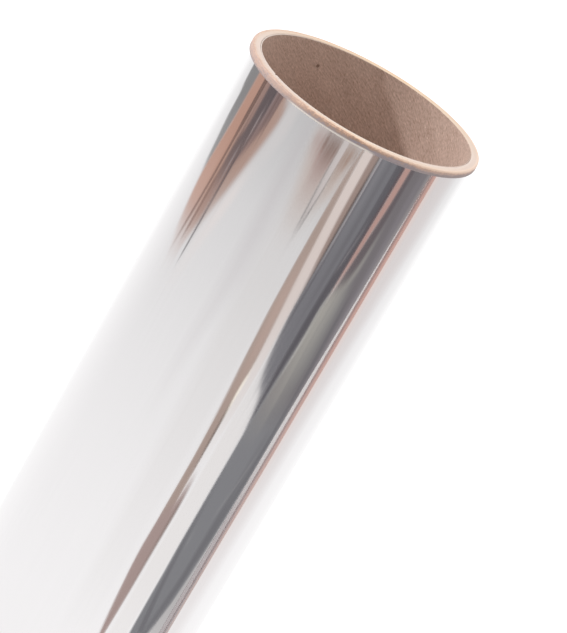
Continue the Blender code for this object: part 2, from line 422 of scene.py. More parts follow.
lay_cards(
    "the broad cards on the left",
    ("left_glow", LEFT_GLOW, 1.5, (-10, -29.5, -24, 0.25), (12, -30, -24, 0.25), (25, -32, -27, 0.1),
     (32, -34, -30.5, 0.3), (40, -35, -31.5, 0.7), (52, -38.5, -33.5, 0.5), (65, -41, -36, 0.25),
     (80, -42, -38, 0)),
    ("left_slate", SLATE, 0.6, (-10, -66.6, -56), (10.5, -65.2, -56.1), (12.5, -63.6, -56.3),
     (22, -63.3, -56.8, 0.93), (30, -61.7, -57.5, 0.88), (37, -60.6, -58, 0.85), (42, -59.2, -58.3, 0.3)),
    ("left_copper", COPPER, 0.9, (-10, -56.3, -47), (22, -56.9, -47), (30, -57.7, -46),
     (39, -58.5, -45, 0.97), (43, -58.6, -44, 0.92), (47, -57.9, -43.4, 0.87), (51, -57.2, -43, 0.8),
     (55, -56.2, -43.4, 0.65), (60, -55, -44.2, 0.38), (66, -52, -45, 0.2), (72, -50, -44, 0)),
    ("left_light_copper", LIGHT_COPPER, 0.8, (22, -56.6, -51.2, 0), (38, -57.6, -51, 0.45),
     (48, -57.4, -50.6, 0.5), (60, -53, -50.6, 0)),
    ("left_tan_copper", TAN_COPPER, 1.3, (-10, -48, -33.6), (3, -48, -33), (4.4, -48, -30.4),
     (8, -48, -29.9), (12, -48, -30.5), (22, -48, -32.7), (30, -48, -34.6), (39, -48, -36.8, 0.9),
     (47, -47.6, -39.2, 0.75), (55, -47.2, -41.6, 0.5), (62, -46.8, -44.6, 0.15), (68, -46, -44.8, 0)),
    ("left_umber", UMBER, 0.7, (-10, -47.6, -34.8, 0.9), (15, -47.6, -35.4, 0.9), (22, -47.4, -38, 0.85),
     (30, -47.2, -41, 0.85), (40, -47.1, -41.4, 0.75), (46, -47, -42, 0.42), (52, -47, -42.4, 0.25),
     (58, -46.8, -42.6, 0)),
    ("left_plum_brown", PLUM_BROWN, 0.5, (-10, -41, -34.5, 0.9), (12, -41, -35, 0.85),
     (16, -41, -36.6, 0.8), (24, -41.2, -38.2, 0.55), (31, -41.6, -40.8, 0.2)),
    ("left_plum", PLUM, 0.5, (-10, -45.2, -39), (12, -45, -39.3), (15, -44.8, -40.9, 0.95),
     (20, -45, -41.2, 0.9), (23, -46.8, -41.2, 0.92), (27, -47.2, -42, 0.82), (35, -46.8, -42.8, 0.55),
     (42, -46.4, -44, 0.03)),
)

# %% [markdown]
# Thin lines in umber, ink and lilac lie over the broad cards. They give the shield its grain.

# %% Fine cards on the left
DARK_UMBER = (0.235, 0.15, 0.125)
DEEP_UMBER = (0.14, 0.098, 0.088)
LILAC = (0.42, 0.36, 0.36)
INK = (0.10, 0.088, 0.095)

lay_cards(
    "the fine cards on the left",
    ("left_umber_line", DARK_UMBER, 0.35, (-10, -50.5, -47.6), (17, -50.3, -47.8),
     (24, -49.7, -48.3, 0.9), (40, -49.8, -48.6, 0.85), (48, -50.2, -49, 0.85), (57, -50.8, -49.4, 0.8),
     (62, -51, -49.8, 0.4), (70, -51, -50.2, 0)),
    ("left_deep_line", DEEP_UMBER, 0.2, (-10, -50.4, -49.7, 0.9), (18, -50.1, -49.5, 0.8),
     (26, -49.8, -49.4, 0.4), (40, -49.6, -49.3, 0.3)),
    ("left_other_deep_line", DEEP_UMBER, 0.2, (-10, -48.6, -47.9, 0.9), (18, -48.6, -48, 0.8),
     (26, -48.8, -48.4, 0.5), (54, -49.2, -48.8, 0.2)),
    ("left_thin_line", DARK_UMBER, 0.2, (10, -46.8, -46.3, 0.1), (20, -46.7, -46.2, 0.8),
     (27, -46.4, -46, 0.6)),
    ("left_second_line", DARK_UMBER, 0.35, (34, -47.6, -46.4, 0.2), (42, -47.6, -46.3, 0.8),
     (50, -47.5, -46.3, 0.65), (58, -47.6, -46.5, 0.85), (63, -47.6, -46.7, 0.1)),
    ("left_high_ink", INK, 0.25, (-10, -40.4, -39.4, 0.5), (12, -40.4, -39.5, 0.5),
     (19, -40.6, -39.9, 0)),
    ("left_high_lilac", LILAC, 0.2, (-10, -39, -38.6, 0.45), (14, -39, -38.6, 0.45),
     (20, -39.2, -38.9, 0)),
    ("left_ink_line", INK, 0.3, (14, -40.4, -39, 0.3), (24, -41.4, -40, 0.6), (30, -42.4, -41.2, 0.85),
     (40, -42.4, -41.2, 0.7), (46, -42.4, -41.2, 0.45), (52, -42.4, -41.3, 0.75),
     (64, -42.4, -41.5, 0.82), (71, -42.3, -41.7, 0)),
    ("left_inner_line", DEEP_UMBER, 0.25, (-10, -37.4, -36.8, 0.7), (19, -37.4, -36.9, 0.5)),
    ("left_outer_line", DEEP_UMBER, 0.25, (-10, -35.2, -34.5, 0.7), (20, -35.8, -35.3, 0.4)),
    ("left_lilac", LILAC, 0.25, (11, -41.5, -40.8, 0.3), (15, -41.6, -40.8, 0.85),
     (22, -41.3, -40.9, 0.5), (26, -41.4, -41, 0)),
    ("left_low_lilac", LILAC, 0.25, (25, -43.6, -43.2, 0), (28, -43.9, -43.1, 0.7),
     (33, -43.8, -43.2, 0.8), (39, -43.6, -43.3, 0.2)),
)

# %% [markdown]
# In front there is a soft taupe cloud with a pale spike in it, and a cream strip on its right.

# %% Cards in front
TAUPE_HAZE = (0.56, 0.46, 0.405)
FAINT_HAZE = (0.56, 0.53, 0.50)
LILAC_HAZE = (0.50, 0.465, 0.475)
TAUPE = (0.175, 0.108, 0.08)
PINK_TAUPE = (0.40, 0.285, 0.26)
WARM_TAUPE = (0.295, 0.178, 0.124)
SPIKE = (0.58, 0.535, 0.52)
SPIKE_EDGE = (0.22, 0.212, 0.208)
CREAM = (0.69, 0.61, 0.57)

lay_cards(
    "the cards in front",
    ("faint_haze", FAINT_HAZE, 3.0, (-10, -14, 9, 0.25), (30, -9, 9, 0.2), (42, -9, 9, 0.1),
     (56, -8, 9, 0.18), (110, -5, 10, 0.16), (170, -3, 11, 0.1), (205, -3, 12, 0)),
    ("lilac_haze", LILAC_HAZE, 3.0, (0, -18, -14, 0.2), (20, -18, -14, 0.28), (40, -18, -10, 0.28),
     (60, -17, -9, 0.22), (90, -17, -14, 0.12), (120, -17, -15, 0)),
    ("taupe_haze", TAUPE_HAZE, 2.2, (0, -13.5, 8.5, 0), (3, -13.5, 8.5, 0.35), (5.5, -13, 8.5, 0.7),
     (9, -12, 8.5, 0.65), (20, -9, 8.3, 0.6), (30, -6.5, 2.6, 0.4), (40, -4, 2.4, 0.05), (48, -2, 2, 0)),
    ("pink_taupe", PINK_TAUPE, 1.2, (0.5, -7, 0.2, 0), (2.8, -7.2, 0.2, 0.3), (4, -7.4, 0.2, 0.6),
     (5.2, -12.2, 0.2, 0.95), (8.5, -11.7, 0.2, 0.95), (12, -7.4, 0.2, 0.9), (16, -6, 0, 0.8),
     (20, -5.5, 0, 0.35), (30, -4, 0.6, 0)),
    ("taupe", TAUPE, 1.0, (1, -7, 0, 0), (3, -7.6, 0.4, 0.35), (4.2, -7.8, 0.4, 0.6), (5.4, -7.6, 0.2),
     (6.6, -7.4, 0.2, 0.98), (8, -7, 0.1, 0.85), (11, -4.4, -0.2, 0.48), (14, -3.5, -0.4, 0)),
    ("right_taupe", WARM_TAUPE, 0.7, (0.5, 3, 8.9, 0), (2.8, 3, 8.9, 0.25), (4.2, 3, 8.9, 0.5),
     (5.6, 2.9, 8.9, 0.98), (7, 2.9, 8.6, 0.95), (9.5, 2.9, 7.4, 0.85), (12.5, 2.9, 6, 0.4),
     (20, 3.4, 5.6, 0.1), (30, 3.4, 6, 0)),
    ("spike", SPIKE, 0.3, (-10, 0.6, 3), (8, 0.6, 3), (16, 0.3, 3), (24, 0.6, 2.8, 0.9),
     (31, 1, 2.6, 0.8), (36.5, 1.2, 2.2, 0.6)),
    ("spike_left_line", SPIKE_EDGE, 0.25, (5, -0.3, 0.4, 0), (14, -0.1, 0.5, 0.7), (24, 0.3, 0.95, 0.9),
     (35, 0.95, 1.6, 0.95), (36.5, 1.2, 1.7, 0)),
    ("spike_right_line", SPIKE_EDGE, 0.25, (10, 3, 3.5, 0), (16, 2.9, 3.4, 0.5), (24, 2.6, 3.2, 0.8),
     (35, 1.8, 2.5, 0.9), (36.5, 1.7, 2.2, 0)),
    ("cream", CREAM, 0.4, (-10, 10.4, 14.7), (20, 10.8, 15.4), (40, 11.8, 16.8), (60, 13.4, 17.9, 0.9),
     (80, 15, 19, 0.6), (100, 15.4, 19, 0.4), (125, 16, 18, 0)),
)

# %% [markdown]
# A long tan strip runs down beside the cloud. It bends at a kink, where a highlight touches it, and grows
# wider below. A thin taupe strip with a brown line runs on its right.

# %% Tan strips
TAN = (0.40, 0.315, 0.275)
PINK_TAN = (0.50, 0.375, 0.325)
LOW_TAN = (0.385, 0.295, 0.275)
TAN_EDGE = (0.15, 0.108, 0.092)
HIGHLIGHT = (1.0, 0.94, 0.82)
THIN_TAUPE = (0.335, 0.255, 0.225)
BROWN_LINE = (0.10, 0.075, 0.068)
PALE_LINE = (0.46, 0.43, 0.44)

lay_cards(
    "the tan strips",
    ("tan", TAN, 0.35, (-10, 9.5, 10.3, 0.9), (5, 9.4, 10.4), (10, 8.7, 10.5), (19, 8.35, 10.9),
     (34, 8.3, 11.8), (49, 8.5, 12.7), (64, 8.9, 14), (83, 10.1, 15.6), (98, 11.4, 15.4),
     (109, 12.1, 15.7), (120, 12.6, 15.9), (131, 12.7, 16), (145, 12.6, 16.4)),
    ("pink_tan", PINK_TAN, 0.8, (38, 9.4, 11.6, 0), (58, 9.6, 13, 0.7), (78, 11.4, 14.6, 0.6),
     (92, 12.4, 14.8, 0.3), (104, 12.8, 15, 0)),
    ("low_tan", LOW_TAN, 0.35, (127, 16.8, 18.2, 0.1), (133, 16.6, 18.4, 0.8), (139, 16.3, 18.5),
     (144, 12.7, 18.5), (159, 12.4, 18.3), (167, 12.8, 18.3), (176, 13.6, 18.3), (185, 14.5, 18.1),
     (194, 15.6, 17.8), (204, 16.8, 17.4, 0.9)),
    ("low_tan_edge", TAN_EDGE, 0.5, (133, 17.5, 18.5, 0), (142, 17.4, 18.6, 0.55), (165, 17.3, 18.4, 0.3),
     (180, 17.3, 18.2, 0)),
    ("tan_edge", TAN_EDGE, 0.3, (96, 14.7, 15.4, 0), (103, 15, 15.8, 0.95), (115, 15.2, 16, 0.9),
     (128, 15.6, 16.2, 0.2)),
    ("kink_highlight", HIGHLIGHT, 0.25, (85, 15.5, 16.2, 0), (91, 15.1, 16.1, 0.95),
     (98, 15.1, 15.9, 0.95), (106, 15.8, 16.2, 0)),
    ("gap_highlight", CREAM, 0.2, (120, 16.1, 16.6, 0.2), (130, 16.1, 16.5, 0.7), (142, 16.1, 16.4, 0.2)),
    ("thin_taupe", THIN_TAUPE, 0.3, (-10, 14.5, 18), (10, 14.9, 18), (19, 15.1, 18), (27, 15.4, 18.1),
     (34, 15.9, 18.2), (42, 16.6, 18.4), (50, 17.4, 18.6, 0.7), (62, 18, 18.8, 0.3), (70, 18.4, 19, 0)),
    ("brown_line", BROWN_LINE, 0.25, (-10, 17.7, 18.4, 0.7), (8, 17.7, 18.5, 0.8), (14, 17.5, 18.6, 0.95),
     (40, 17.7, 18.7, 0.9), (52, 18, 18.8, 0.7), (64, 18.1, 18.8, 0)),
)

# %% [markdown]
# On the right two dark strips run down. They carry finer stripes, which give them the look of brushed metal.
# The first one ends above a stretch of warm white.

# %% Dark strips on the right
GREY = (0.19, 0.189, 0.203)
DARK_GREY = (0.112, 0.107, 0.118)
STRIPE = (0.148, 0.145, 0.157)
LIGHT_STRIPE = (0.235, 0.232, 0.247)
WARM_WHITE = (0.70, 0.665, 0.635)

lay_cards(
    "the first dark strip",
    ("warm_white", WARM_WHITE, 0.8, (60, 18, 21, 0), (85, 19, 26, 0.25), (110, 19.5, 27.8, 0.35),
     (170, 19.5, 28, 0.35), (205, 19.5, 28, 0.2)),
    ("dark_strip", GREY, 0.35, (-10, 18.6, 31.6), (45, 18.5, 31), (52, 18.4, 30.8), (64, 18.3, 30.4),
     (71, 18.9, 30.2), (80, 20, 30), (88, 22.2, 29.6), (93, 25.4, 29.4), (100, 27.2, 29, 0.9),
     (107, 27.8, 28.6, 0)),
    ("dark_strip_right", DARK_GREY, 0.6, (-10, 27.3, 31.6, 0.85), (25, 27.6, 31.2, 0.9), (40, 27, 30.8),
     (60, 26.4, 30.4), (80, 26.4, 28.8), (92, 27, 28.7), (106, 27.8, 28.6, 0.6)),
    ("dark_strip_stripe", STRIPE, 0.7, (-10, 23.4, 25, 0.3), (30, 23.4, 25.4, 0.7), (50, 23, 25, 0.5),
     (72, 22.8, 24.4, 0)),
    ("dark_strip_light", LIGHT_STRIPE, 0.6, (-10, 20.4, 22.2, 0.8), (20, 20.4, 22, 0.5),
     (36, 20.4, 22, 0.1)),
    ("dark_strip_edge", DARK_GREY, 0.25, (-10, 19.4, 19.9, 0.5), (30, 19.4, 19.9, 0.7),
     (48, 19.4, 20.1, 0.8), (64, 19.2, 19.9, 0.7), (76, 19.9, 20.5, 0)),
    ("dark_strip_scratch", PALE_LINE, 0.2, (26, 28.9, 29.4, 0.3), (38, 27.8, 28.3, 0.5),
     (44, 27.2, 27.6, 0.2)),
    ("pale_line", PALE_LINE, 0.25, (-10, 18.8, 19.4, 0.95), (20, 18.9, 19.4, 0.9), (36, 19, 19.4, 0.7),
     (50, 19.1, 19.4, 0)),
)

# %% [markdown]
# The second strip joins a grey band that has a warm pale head. A copper-pink line runs between the two
# strips, and a pale glow lies at the right edge of the foil.

# %% Band on the right
DIM_GREY = (0.183, 0.17, 0.178)
DIM_DARK = (0.133, 0.114, 0.121)
DIM_LIGHT = (0.225, 0.21, 0.225)
PINK_COPPER = (0.47, 0.30, 0.265)
PINK_EDGE = (0.115, 0.09, 0.097)
WARM_GREY = (0.375, 0.365, 0.335)
HEAD_SIDE = (0.235, 0.233, 0.23)
BAND_GREY = (0.223, 0.226, 0.238)
BAND_DARK = (0.148, 0.146, 0.157)
BAND_LIGHT = (0.36, 0.355, 0.36)
BAND_SIDE = (0.44, 0.43, 0.425)
PALE_CURVE = (0.60, 0.60, 0.58)
PALE_RIGHT = (0.70, 0.655, 0.645)
WARM_EDGE = (0.80, 0.655, 0.60)

lay_cards(
    "the band on the right",
    ("band", BAND_GREY, 0.5, (80, 29, 45.5, 0.3), (96, 28.4, 45.4), (110, 28.2, 45.2), (131, 28.2, 44.8),
     (154, 28.3, 44), (165, 28.6, 43.4), (176, 28.7, 42.2), (185, 28.9, 40), (190, 29, 38.6),
     (200, 30, 35, 0.9)),
    ("second_strip", DIM_GREY, 0.4, (-10, 34.7, 47.2), (20, 34, 47.2), (34, 32.8, 47), (48, 31.6, 46.8),
     (70, 31, 46.4), (90, 29.6, 45.8), (105, 29, 45.4, 0)),
    ("second_strip_dark", DIM_DARK, 0.6, (-10, 34.9, 37, 0.9), (20, 34.3, 37, 0.9), (38, 32.8, 36.8, 0.9),
     (46, 32.2, 36, 0.8), (51, 33, 35, 0)),
    ("second_strip_light", DIM_LIGHT, 0.9, (-10, 41, 44.2, 0.35), (16, 41.4, 44.6, 0.7),
     (30, 42.4, 45.2, 0.8), (60, 43.2, 45.8, 0.8), (90, 44.2, 45.6, 0.6)),
    ("warm_head_side", HEAD_SIDE, 1.6, (44, 36.5, 39, 0), (50, 33, 39.4, 0.7), (58, 33, 40, 0.9),
     (76, 33, 41, 0.8), (96, 33, 41, 0.3), (112, 33, 41, 0)),
    ("warm_head", WARM_GREY, 0.6, (22, 37.6, 38.2, 0), (32, 37, 38.5, 0.4), (41, 36.2, 38.4, 0.6),
     (47, 34.6, 37, 0.65), (51, 31.2, 34.6, 0.95), (58, 29.8, 34), (66, 30, 34, 0.9),
     (76, 29.8, 34.4, 0.7), (90, 29, 35, 0.45), (112, 28.6, 36, 0)),
    ("warm_head_fade", WARM_GREY, 2.4, (46, 34.4, 37.2, 0), (52, 33.4, 37, 0.7), (66, 33.4, 37, 0.65),
     (80, 33.4, 38, 0.4), (100, 33, 38, 0)),
    ("warm_edge", BAND_DARK, 0.5, (50, 40.6, 41.6, 0.2), (60, 41, 42.4, 0.6), (76, 41.7, 43.2, 0.65),
     (88, 42.2, 43.6, 0.55), (110, 42.4, 44.2, 0.8), (131, 41.8, 44, 0.6), (150, 41.2, 43.4, 0.5),
     (160, 41, 43, 0.2)),
    ("band_streak", BAND_DARK, 0.9, (105, 39, 42.6, 0.2), (140, 39, 42, 0.65), (165, 38.6, 41.6, 0.75),
     (185, 36, 39.4, 0.6), (196, 34, 37, 0.4)),
    ("band_low_streak", STRIPE, 0.6, (120, 28.6, 30.2, 0), (150, 28.8, 30.6, 0.5), (172, 30.6, 32.4, 0.7),
     (190, 32.6, 35.4, 0.7)),
    ("band_light_streak", BAND_LIGHT, 0.3, (112, 41, 41.3, 0), (118, 40.6, 40.9, 0.5),
     (126, 39.5, 39.9, 0.6), (137, 37.6, 38.1, 0.5), (142, 36.6, 37, 0)),
    ("band_spot", BAND_LIGHT, 0.25, (147, 31.8, 32.1, 0), (150.5, 31.6, 32.3, 0.6), (154, 31.8, 32.1, 0)),
    ("band_side", BAND_SIDE, 0.8, (128, 44.6, 48, 0), (145, 44, 48, 0.7), (165, 43, 48, 0.9),
     (176, 41.8, 48, 0.9), (190, 38.6, 48, 0.8), (200, 36, 48, 0.6)),
    ("pale_curve", PALE_CURVE, 0.2, (50, 30.8, 31.2, 0), (54, 30.2, 30.5, 0.75), (59, 29.5, 29.9, 0.75),
     (66, 29.9, 30.2, 0)),
    ("pink_line", PINK_COPPER, 0.35, (-10, 31.8, 34.8), (17, 31.6, 34.4), (26, 31.3, 33.4),
     (36, 31, 32.8), (44, 30.8, 32, 0.9), (51, 30.7, 31.1, 0.6)),
    ("pink_edge", PINK_EDGE, 0.3, (-10, 30.5, 31.8), (20, 30.3, 31.5, 0.95), (46, 30, 30.7, 0.6)),
    ("pale_right", PALE_RIGHT, 4.0, (-10, 48, 64, 0.7), (30, 48, 63, 0.75), (60, 48, 60, 0.7),
     (100, 48, 59, 0.6), (150, 48, 59, 0.45), (190, 48, 58, 0.35)),
    ("warm_edge_glow", WARM_EDGE, 2.2, (-10, 49, 51.6, 0.7), (60, 49, 51.6, 0.6), (110, 49, 51.4, 0.4),
     (150, 49, 51.2, 0.2), (180, 49, 51, 0)),
)

# %% [markdown]
# ## Surface effects that several finishes share
# Paper and rolled metal both carry fine marks that run one way, and paper carries flecks as well. Each effect
# is a node group, built once. Sizes are in millimetres, so a material says plainly how long its marks are.

# %% Shared node groups
def new_group(name, **inputs):
    """A shader node group that takes a place in millimetres and some plain numbers, and puts out a mask."""
    group = bpy.data.node_groups.new(name, "ShaderNodeTree")
    group.interface.new_socket("Place", in_out="INPUT", socket_type="NodeSocketVector")
    for socket_name, value in inputs.items():
        socket = group.interface.new_socket(socket_name, in_out="INPUT", socket_type="NodeSocketFloat")
        socket.default_value = value
    group.interface.new_socket("Mask", in_out="OUTPUT", socket_type="NodeSocketFloat")
    return group, group.nodes.new("NodeGroupInput").outputs, group.nodes.new("NodeGroupOutput").inputs


marks_group, given, result = new_group("Long marks", Along=1.0, Across=1.0, Detail=3.0)
sizes = (given["Along"], given["Across"], given["Across"])
shrunk = add_node(marks_group, "ShaderNodeVectorMath", operation="DIVIDE")
pattern = add_node(marks_group, "ShaderNodeTexNoise", Scale=1.0, Roughness=0.6)
join(marks_group, given["Place"], shrunk.inputs[0])
join(marks_group, joined_node(marks_group, "ShaderNodeCombineXYZ", *sizes)[0], shrunk.inputs[1])
join(marks_group, shrunk.outputs["Vector"], pattern.inputs["Vector"])
join(marks_group, given["Detail"], pattern.inputs["Detail"])
join(marks_group, pattern.outputs["Fac"], result["Mask"])

flecks_group, given, result = new_group("Flecks", Spacing=4.0, Size=0.3, Share=0.1)
cells = add_node(flecks_group, "ShaderNodeTexVoronoi", Randomness=1.0)
join(flecks_group, given["Place"], cells.inputs["Vector"])
join(flecks_group, arithmetic(flecks_group, "DIVIDE", 1.0, given["Spacing"]), cells.inputs["Scale"])
away = arithmetic(flecks_group, "MULTIPLY", cells.outputs["Distance"], given["Spacing"])
inside = arithmetic(flecks_group, "LESS_THAN", away, given["Size"])
draw = joined_node(flecks_group, "ShaderNodeSeparateColor", cells.outputs["Color"])["Red"]
chosen = arithmetic(flecks_group, "LESS_THAN", draw, given["Share"])
join(flecks_group, arithmetic(flecks_group, "MULTIPLY", inside, chosen), result["Mask"])


def use_group(tree, group, place, **values):
    """Places a node group in a material, fed with this place in millimetres, and gives its mask."""
    node = tree.nodes.new("ShaderNodeGroup")
    node.node_tree = group
    join(tree, place, node.inputs["Place"])
    for name, value in values.items():
        node.inputs[name].default_value = value
    return node.outputs["Mask"]


def place_in_mm(tree, kind, scale):
    """Object or UV coordinates, scaled to millimetres."""
    node = add_node(tree, "ShaderNodeMapping", Scale=scale)
    join(tree, coordinates(tree, kind), node.inputs["Vector"])
    return node.outputs["Vector"]


def bump(tree, height, distance, shader):
    node = add_node(tree, "ShaderNodeBump", Strength=1.0, Distance=distance)
    join(tree, height, node.inputs["Height"])
    join(tree, node.outputs["Normal"], shader.inputs["Normal"])


OBJECT_TO_MM = (1000.0, 1000.0, 1000.0)
print("node groups:", marks_group.name, "and", flecks_group.name)

# %% [markdown]
# ## Kraft
# The core is wound from brown kraft paper. Its fibres lie along the strip, so on the bore they slant. Dark
# and pale flecks show here and there, and one dark knot sits near the rim on the far side. The cut edge at
# the rim is paler, and a painted highlight makes it paler still towards the left and the front.

# %% Kraft finish
KRAFT_DARK = (0.36, 0.225, 0.163)
KRAFT_LIGHT = (0.83, 0.625, 0.525)
KRAFT_FLECK = (0.20, 0.12, 0.085)
KRAFT_PALE_FLECK = (0.90, 0.74, 0.64)
# A pale cut edge, with a painted highlight that makes it paler towards the left and the front.
KRAFT_CUT_EDGE_AND_HIGHLIGHT = (0.90, 0.79, 0.71)
GRAIN_SHARE = 0.52
FIBRE_SHARE = 0.33
CLOUD_SHARE = 0.15
PALE_FLECK_COVER = 0.6
DARK_FLECK_COVER = 0.8
KRAFT_RELIEF = 0.06 * MM
CUT_EDGE_DEPTH = 0.22 * MM
CUT_EDGE_COVER = 0.6
CUT_EDGE_HIGHLIGHT_SLOPE = 0.5
KNOT_AZIMUTH = 121.0
KNOT_DEPTH = 8.3 * MM
KNOT_SIZE = 0.75 * MM
KNOT_FADE = [(0.6, 0.85), (1.0, 0.0)]


def kraft_finish(name, kind, scale):
    """Kraft paper whose strip runs along the first of its coordinates."""
    material, tree, shader = new_material(name, roughness=0.9, metallic=0.0)
    place = place_in_mm(tree, kind, scale)
    fibre = use_group(tree, marks_group, place, Along=3.6, Across=0.6, Detail=2.0)
    grain = use_group(tree, marks_group, place, Along=0.85, Across=0.65, Detail=2.0)
    cloud = use_group(tree, marks_group, place, Along=22.0, Across=9.0, Detail=2.0)
    fibre = arithmetic(tree, "MULTIPLY", fibre, FIBRE_SHARE)
    fine = arithmetic(tree, "MULTIPLY_ADD", grain, GRAIN_SHARE, fibre)
    tone = arithmetic(tree, "MULTIPLY_ADD", cloud, CLOUD_SHARE, fine)
    paper = ramp(tree, tone, [(0.28, KRAFT_DARK), (0.72, KRAFT_LIGHT)])
    pale = use_group(tree, flecks_group, place, Spacing=3.0, Size=0.26, Share=0.25)
    dark = use_group(tree, flecks_group, place, Spacing=6.0, Size=0.3, Share=0.12)
    paper = mixed(tree, arithmetic(tree, "MULTIPLY", pale, PALE_FLECK_COVER), paper, KRAFT_PALE_FLECK)
    paper = mixed(tree, arithmetic(tree, "MULTIPLY", dark, DARK_FLECK_COVER), paper, KRAFT_FLECK)
    bump(tree, tone, KRAFT_RELIEF, shader)
    return material, tree, shader, paper


STRIP_PITCH = 150.0 * MM
STRIP_TURNS = 4
PLY_RECESS = 0.1 * MM
STRIP_LENGTH = STRIP_TURNS * math.tau * BORE_RADIUS
kraft, tree, shader, paper = kraft_finish("kraft_bore", "UV", (STRIP_LENGTH / MM, STRIP_PITCH / MM, 1.0))
place = coordinates(tree, "Object")
from_knot = add_node(tree, "ShaderNodeVectorMath", operation="DISTANCE")
from_knot.inputs[1].default_value = polar(KNOT_AZIMUTH, BORE_RADIUS, ROLL_TOP - KNOT_DEPTH)
join(tree, place, from_knot.inputs[0])
knot_share = arithmetic(tree, "DIVIDE", from_knot.outputs["Value"], KNOT_SIZE)
knotted = mixed(tree, ramp(tree, knot_share, KNOT_FADE), paper, KRAFT_FLECK)
x, y, z = split(tree, place)
to_rim = arithmetic(tree, "SUBTRACT", ROLL_TOP - PLY_RECESS, z)
at_rim = arithmetic(tree, "LESS_THAN", to_rim, CUT_EDGE_DEPTH)
# Painted highlight: the pale cut edge covers more towards the left and the front.
leftward = arithmetic(tree, "MULTIPLY_ADD", x, -CUT_EDGE_HIGHLIGHT_SLOPE / BORE_RADIUS, CUT_EDGE_COVER)
frontward = arithmetic(tree, "MULTIPLY_ADD", y, -CUT_EDGE_HIGHLIGHT_SLOPE / BORE_RADIUS, leftward, clamp=True)
cut_edge_and_highlight = arithmetic(tree, "MULTIPLY", at_rim, frontward)
paint(tree, shader, mixed(tree, cut_edge_and_highlight, knotted, KRAFT_CUT_EDGE_AND_HIGHLIGHT))

kraft_board, tree, shader, paper = kraft_finish("kraft_board", "Object", OBJECT_TO_MM)
paint(tree, shader, paper)
print("kraft:", kraft.name, kraft_board.name)

# %% [markdown]
# ## Satin copper of the edge rings
# The rings are cream on the face and peach where the edge is rounded. Down the side both tone ramps
# darken to brown, as painted shade under the flange. Near the middle of the front, and in patches, a
# second ramp is mixed in: it is mauve-brown towards the lower edge, from grime and painted shade, and a
# painted highlight makes it whiter at the inner edge and more orange on the rounded edge. The tone is
# painted lighter or darker from left to right, a painted highlight brightens the rounded edge on the right,
# and a painted highlight shows as a pale lip under the front. The tone follows the way along the section,
# from the bore over the face and down the side. Fine marks run round the ring: their noise is
# four-dimensional, so that it goes round without a seam. Two of its coordinates are the radius and the
# height, and the other two go round.

# %% Ring finish
# Both tone ramps darken down the side: this is painted shade under the flange.
CLEAN_TONES_AND_SHADE = [
    (0.0, (0.80, 0.655, 0.57)),
    (0.22, (0.79, 0.61, 0.505)),
    (0.40, (0.75, 0.51, 0.385)),
    (0.515, (0.64, 0.43, 0.34)),
    (0.67, (0.57, 0.40, 0.335)),
    (0.80, (0.45, 0.345, 0.325)),
    (0.90, (0.36, 0.275, 0.26)),
    (1.0, (0.38, 0.31, 0.30)),
]
# The second ramp: whiter at the inner edge and more orange on the rounded edge as a painted highlight,
# mauve-brown at the lower edge from grime and painted shade.
GRIME_HIGHLIGHT_AND_SHADE_TONES = [
    (0.0, (0.90, 0.77, 0.66)),
    (0.16, (0.87, 0.68, 0.52)),
    (0.34, (0.88, 0.585, 0.395)),
    (0.446, (0.70, 0.425, 0.29)),
    (0.554, (0.45, 0.275, 0.195)),
    (0.68, (0.345, 0.245, 0.20)),
    (0.76, (0.34, 0.285, 0.32)),
    (1.0, (0.34, 0.285, 0.30)),
]
FAR_TINT = (1.0, 0.90, 0.72)
FACE_SHARE = 0.4
GRIME_AND_SHADE_MIDDLE = 4.0 * MM
GRIME_AND_SHADE_MOST = 0.6
GRIME_AND_SHADE_FALL = 1.15
PATCH_SHARE = 0.6
# Painted light and shade: these shares shift the tone lighter or darker from left to right.
SIDE_SHADE_LEAN = [(0.15, 0.5), (0.36, 0.1), (0.45, 0.12), (0.60, 0.5), (0.75, 0.62), (1.0, 0.65)]
# A painted highlight on the rounded edge, strongest on the right.
RIM_HIGHLIGHT = (0.97, 0.72, 0.56)
RIM_HIGHLIGHT_PLACE = [(0.24, 0.0), (0.34, 1.0), (0.44, 1.0), (0.56, 0.0)]
# A painted highlight along the lower edge, under the front.
LIP_HIGHLIGHT = (0.82, 0.74, 0.67)
LIP_PLACE = [(0.81, 0.0), (0.88, 1.0)]
LIP_MIDDLE = -5.5 * MM
LIP_REACH = 16.5 * MM
LIP_FADE = 3.0 * MM
MARK_WIDTH = 0.4 * MM
MARK_LENGTH = 6.0 * MM
SPECKLE_LEAST = 0.05
SPECKLE_RISE = 2.2
SPECKLE_FALL = -1.9
RING_ROUGHNESS = [(0.2, 0.4), (0.9, 0.65)]
RING_RELIEF = 0.05 * MM

ring_finish, tree, shader = new_material("satin_copper", roughness=0.45, metallic=0.0)
x, y, z = split(tree, coordinates(tree, "Object"))
in_mm = place_in_mm(tree, "Object", OBJECT_TO_MM)
across = arithmetic(tree, "MULTIPLY_ADD", y, y, arithmetic(tree, "MULTIPLY", x, x))
from_axis = arithmetic(tree, "SQRT", across)
mark_sizes = ((from_axis, MARK_WIDTH), (z, MARK_WIDTH), (x, MARK_LENGTH), (y, MARK_LENGTH))
*section, fourth = [arithmetic(tree, "DIVIDE", value, size) for value, size in mark_sizes]
round_marks = add_node(tree, "ShaderNodeTexNoise", noise_dimensions="4D", Scale=1.0, Detail=3.0)
join(tree, joined_node(tree, "ShaderNodeCombineXYZ", *section)[0], round_marks.inputs["Vector"])
join(tree, fourth, round_marks.inputs["W"])
grains = use_group(tree, marks_group, in_mm, Along=0.9, Across=0.8, Detail=3.0)
patches = use_group(tree, marks_group, in_mm, Along=14.0, Across=14.0, Detail=2.0)


def nearness(tree, value, middle, fall, most, clamp=False):
    """Falls off evenly on both sides of a middle."""
    away = arithmetic(tree, "ABSOLUTE", arithmetic(tree, "SUBTRACT", value, middle))
    return arithmetic(tree, "MULTIPLY_ADD", away, -fall, most, clamp)


